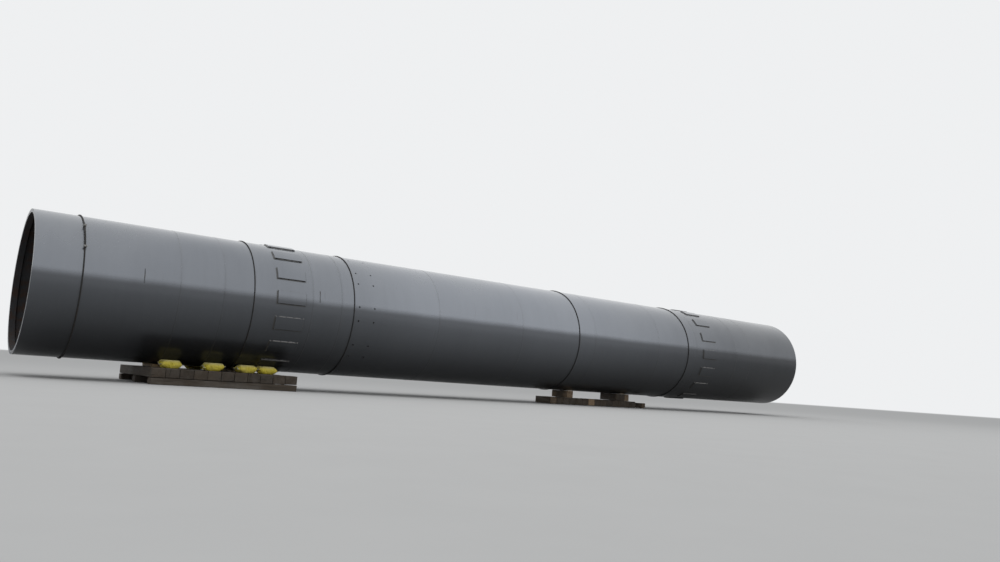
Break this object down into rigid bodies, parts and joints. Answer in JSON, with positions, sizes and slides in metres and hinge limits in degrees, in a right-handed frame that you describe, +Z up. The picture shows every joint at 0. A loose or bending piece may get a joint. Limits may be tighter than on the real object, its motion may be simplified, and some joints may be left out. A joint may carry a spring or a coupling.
{
  "type": "rotary kiln shell",
  "caption": "Long steel tube of a rotary kiln, open at both ends, with tyre pads and gear bolt holes, lying on timber supports.",
  "frame": {"origin": "on the ground, below the middle of the kiln's length", "axes": "+X along the kiln from its left end to its right end as pictured, -Y towards the viewer, +Z up"},
  "size_m": [20.71, 2.5496, 2.8748],
  "materials": {
    "shell_paint": "semi-gloss slate grey paint over rolled plate, with faint runs and dust",
    "pad_paint": "semi-gloss slate grey paint on flame-cut plate, with weld beads round the edges",
    "ring_steel": "semi-gloss slate grey paint on a rolled bar, with bare marks on the end face",
    "wire_rope": "dark greased laid wire",
    "old_timber": "rough sawn, dark and oily, with split ends",
    "new_timber": "rough sawn softwood, a little grey",
    "woven_bag": "yellow woven plastic cloth, filled with sand, dusty"
  },
  "bodies": {
    "root": {"shell_course_1": "shell_paint", "shell_course_2": "shell_paint", "shell_course_3": "shell_paint", "shell_course_4": "shell_paint", "shell_course_5": "shell_paint", "shell_course_6": "shell_paint", "shell_course_7": "shell_paint", "shell_course_8": "shell_paint", "shell_course_9": "shell_paint", "shell_course_10": "shell_paint", "shell_course_11": "shell_paint", "shell_course_12": "shell_paint", "left_end_ring": "ring_steel", "right_end_ring": "ring_steel", "left_tyre_pads": "pad_paint", "right_tyre_pads": "pad_paint", "lashing_rope_1": "wire_rope", "lashing_rope_2": "wire_rope", "lashing_rope_3": "wire_rope", "lashing_rope_4": "wire_rope", "lashing_rope_5": "wire_rope", "right_lower_timbers": "old_timber", "right_block_a": "old_timber", "right_block_b": "old_timber", "right_chocks": "new_timber", "right_end_block": "old_timber", "left_runners": "old_timber", "left_sleepers": "old_timber", "left_packers": "new_timber", "front_sandbag_1": "woven_bag", "front_sandbag_2": "woven_bag", "front_sandbag_3": "woven_bag", "front_sandbag_4": "woven_bag", "rear_sandbag_1": "woven_bag", "rear_sandbag_2": "woven_bag", "rear_sandbag_3": "woven_bag", "rear_sandbag_4": "woven_bag"}
  },
  "joints": []
}
